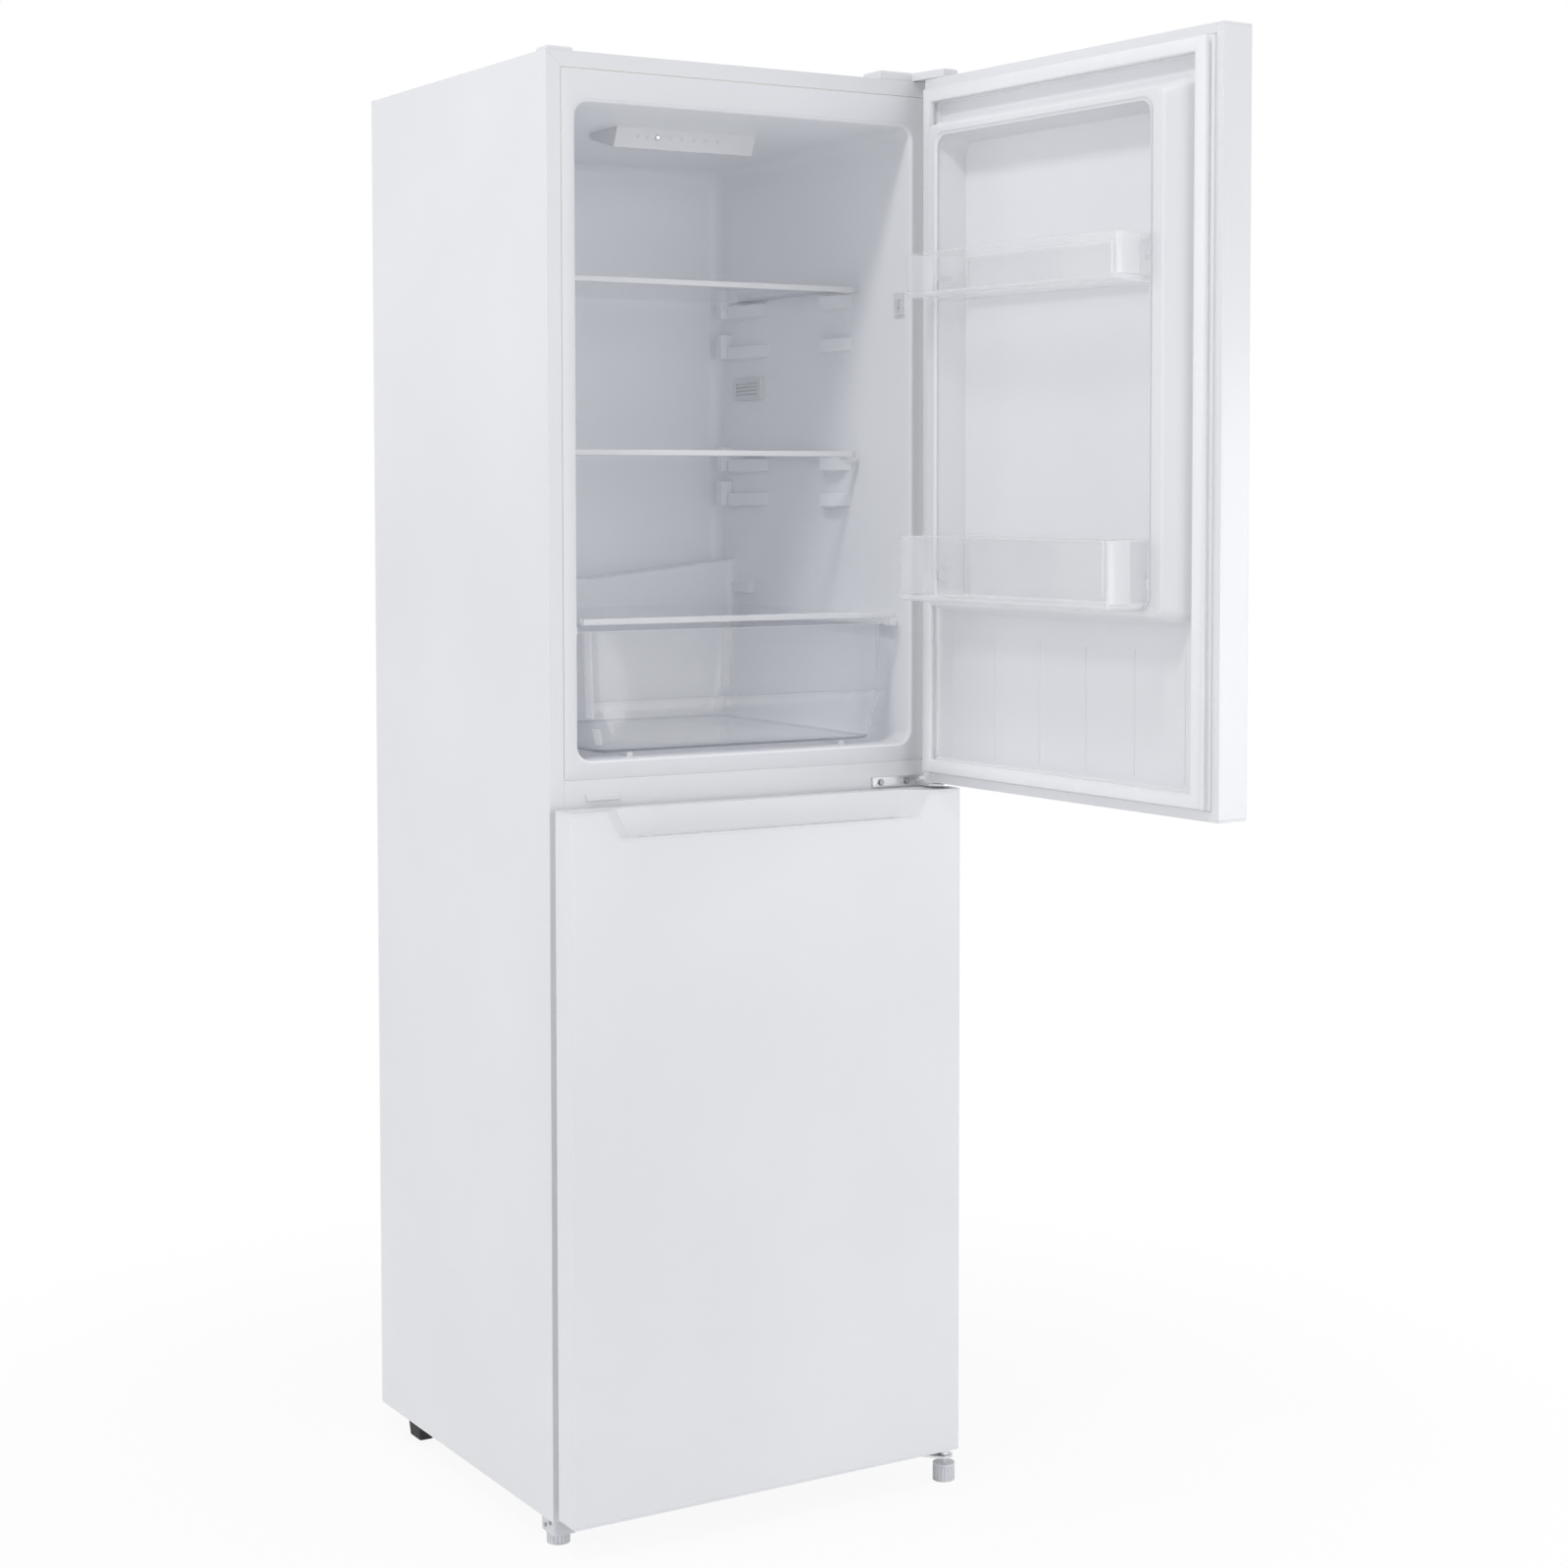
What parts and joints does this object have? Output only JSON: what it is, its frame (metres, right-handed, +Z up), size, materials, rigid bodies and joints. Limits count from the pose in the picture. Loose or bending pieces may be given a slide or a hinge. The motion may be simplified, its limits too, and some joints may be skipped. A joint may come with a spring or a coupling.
{
  "type": "bottom freezer refrigerator",
  "caption": "Upright two-door refrigerator with the freezer below, glass shelves, a clear crisper drawer, clear door racks and adjustable front feet.",
  "frame": {"origin": "centre of the cabinet's footprint on the floor, doors and hinges not counted", "axes": "+Z up, -Y is the door side, +X to the right seen from the front"},
  "size_m": [0.5797, 1.0991, 1.787],
  "materials": {
    "white_steel": "satin",
    "zinc_steel": "satin",
    "bright_steel": "satin",
    "foam": "matte",
    "liner_plastic": "satin",
    "white_plastic": "satin",
    "grey_plastic": "satin",
    "dark_plastic": "matte",
    "seal_rubber": "matte",
    "black_rubber": "matte",
    "shelf_glass": "gloss",
    "clear_plastic": "gloss",
    "frosted_plastic": "satin",
    "black_steel": "satin",
    "copper_pipe": "satin"
  },
  "bodies": {
    "cabinet": {"side_panel_left": "white_steel", "side_panel_right": "white_steel", "top_panel": "white_steel", "back_panel": "zinc_steel", "base_plate": "zinc_steel", "crossbar": "white_steel", "cabinet_foam": "foam", "fridge_liner": "liner_plastic", "freezer_liner": "liner_plastic", "drain_tube": "grey_plastic", "top_hinge": "bright_steel", "top_hinge_cover": "white_plastic", "middle_hinge": "bright_steel", "bottom_hinge": "bright_steel", "foot_bracket_left": "grey_plastic", "cabinet_screws": "bright_steel", "crossbar_cover": "white_plastic", "top_left_cover": "white_plastic", "rear_feet": "black_rubber", "control_box": "white_plastic", "control_lens": "frosted_plastic", "sensor_cover": "white_plastic", "door_switch": "white_plastic", "crisper_cover": "shelf_glass", "crisper_cover_trim": "clear_plastic", "freezer_drawer_bottom": "clear_plastic", "freezer_drawer_middle": "clear_plastic", "freezer_drawer_top": "clear_plastic", "freezer_plates": "shelf_glass", "compressor_rail": "zinc_steel", "compressor_grommets": "black_rubber", "compressor": "black_steel", "relay_cover": "dark_plastic", "evaporation_tray": "dark_plastic", "refrigerant_pipes": "copper_pipe", "filter_drier": "copper_pipe", "power_gland": "dark_plastic"},
    "fridge_door": {"fridge_door_skin": "white_steel", "fridge_door_foam": "foam", "fridge_door_liner": "liner_plastic", "fridge_door_seal": "seal_rubber", "fridge_door_cap_top": "white_plastic", "fridge_door_cap_bottom": "white_plastic"},
    "freezer_door": {"freezer_door_skin": "white_steel", "freezer_door_foam": "foam", "freezer_door_liner": "liner_plastic", "freezer_door_seal": "seal_rubber", "freezer_door_cap_top": "white_plastic", "freezer_door_cap_bottom": "white_plastic"},
    "rack_upper": {"rack_upper": "clear_plastic"},
    "rack_lower": {"rack_lower": "clear_plastic"},
    "shelf_upper": {"shelf_upper_rim": "clear_plastic", "shelf_upper_glass": "shelf_glass"},
    "shelf_lower": {"shelf_lower_rim": "clear_plastic", "shelf_lower_glass": "shelf_glass"},
    "crisper_drawer": {"crisper_drawer": "clear_plastic"},
    "control_button": {"control_button": "grey_plastic"},
    "switch_plunger": {"switch_plunger": "dark_plastic"},
    "foot_left": {"foot_left": "grey_plastic"},
    "foot_right": {"foot_right": "grey_plastic"}
  },
  "joints": [
    {"name": "fridge_door_hinge", "type": "hinge", "parent": "cabinet", "child": "fridge_door", "pos_m": [0.261, -0.3025, 1.3], "axis": [0, 0, 1], "range_deg": [-93, 27]},
    {"name": "freezer_door_hinge", "type": "hinge", "parent": "cabinet", "child": "freezer_door", "pos_m": [0.261, -0.3025, 0.47], "axis": [0, 0, 1], "range_deg": [0, 120]},
    {"name": "rack_upper_lift", "type": "slide", "parent": "fridge_door", "child": "rack_upper", "axis": [0, 0, 1], "range_m": [0, 0.018]},
    {"name": "rack_lower_lift", "type": "slide", "parent": "fridge_door", "child": "rack_lower", "axis": [0, 0, 1], "range_m": [0, 0.018]},
    {"name": "shelf_upper_slide", "type": "slide", "parent": "cabinet", "child": "shelf_upper", "axis": [0, -1, 0], "range_m": [0, 0.06]},
    {"name": "shelf_lower_slide", "type": "slide", "parent": "cabinet", "child": "shelf_lower", "axis": [0, -1, 0], "range_m": [0, 0.06]},
    {"name": "crisper_slide", "type": "slide", "parent": "cabinet", "child": "crisper_drawer", "axis": [0, -1, 0], "range_m": [0, 0.3]},
    {"name": "control_button_press", "type": "slide", "parent": "cabinet", "child": "control_button", "axis": [0, 1, 0], "range_m": [0, 0.0015], "stiffness_N_per_m": 400, "springref_m": -0.0005},
    {"name": "switch_plunger_press", "type": "slide", "parent": "cabinet", "child": "switch_plunger", "axis": [1, 0, 0], "range_m": [0, 0.004], "stiffness_N_per_m": 250, "springref_m": -0.001},
    {"name": "foot_left_turn", "type": "hinge", "parent": "cabinet", "child": "foot_left", "pos_m": [-0.2525, -0.2355, 0.01], "axis": [0, 0, 1], "range_deg": [-180, 180]},
    {"name": "foot_right_turn", "type": "hinge", "parent": "cabinet", "child": "foot_right", "pos_m": [0.261, -0.3025, 0.01], "axis": [0, 0, 1], "range_deg": [-180, 180]}
  ]
}
